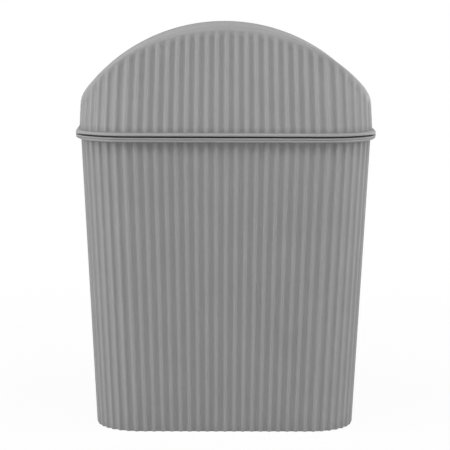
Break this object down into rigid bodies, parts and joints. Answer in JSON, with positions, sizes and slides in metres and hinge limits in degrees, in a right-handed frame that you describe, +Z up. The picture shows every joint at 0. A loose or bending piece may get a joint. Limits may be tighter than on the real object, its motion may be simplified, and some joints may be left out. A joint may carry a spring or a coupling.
{
  "type": "swing-top waste bin",
  "caption": "Tapered fluted waste bin of rounded-rectangular plan, with a lift-off arched lid whose see-saw flap tips left and right on pivot pins to take rubbish.",
  "frame": {"origin": "middle of the foot ring, on the floor", "axes": "+Z up, +X to the right along the wide side, +Y from the front to the back; the flap's pivot axis runs along Y"},
  "size_m": [0.2434, 0.1644, 0.3282],
  "materials": {
    "bin_plastic": "satin moulded grey",
    "lid_plastic": "satin moulded grey",
    "flap_plastic": "satin moulded grey",
    "pin_plastic": "satin moulded grey"
  },
  "bodies": {
    "bin": {"bin_body": "bin_plastic"},
    "lid": {"lid_frame": "lid_plastic", "front_pivot_pin": "pin_plastic", "back_pivot_pin": "pin_plastic"},
    "flap": {"swing_flap": "flap_plastic"}
  },
  "joints": [
    {"name": "lid_lift", "type": "slide", "parent": "bin", "child": "lid", "axis": [0, 0, 1], "range_m": [0, 0.12]},
    {"name": "flap_swing", "type": "hinge", "parent": "lid", "child": "flap", "pos_m": [0, 0, 0.3192], "axis": [0, 1, 0], "range_deg": [-65, 65]}
  ]
}
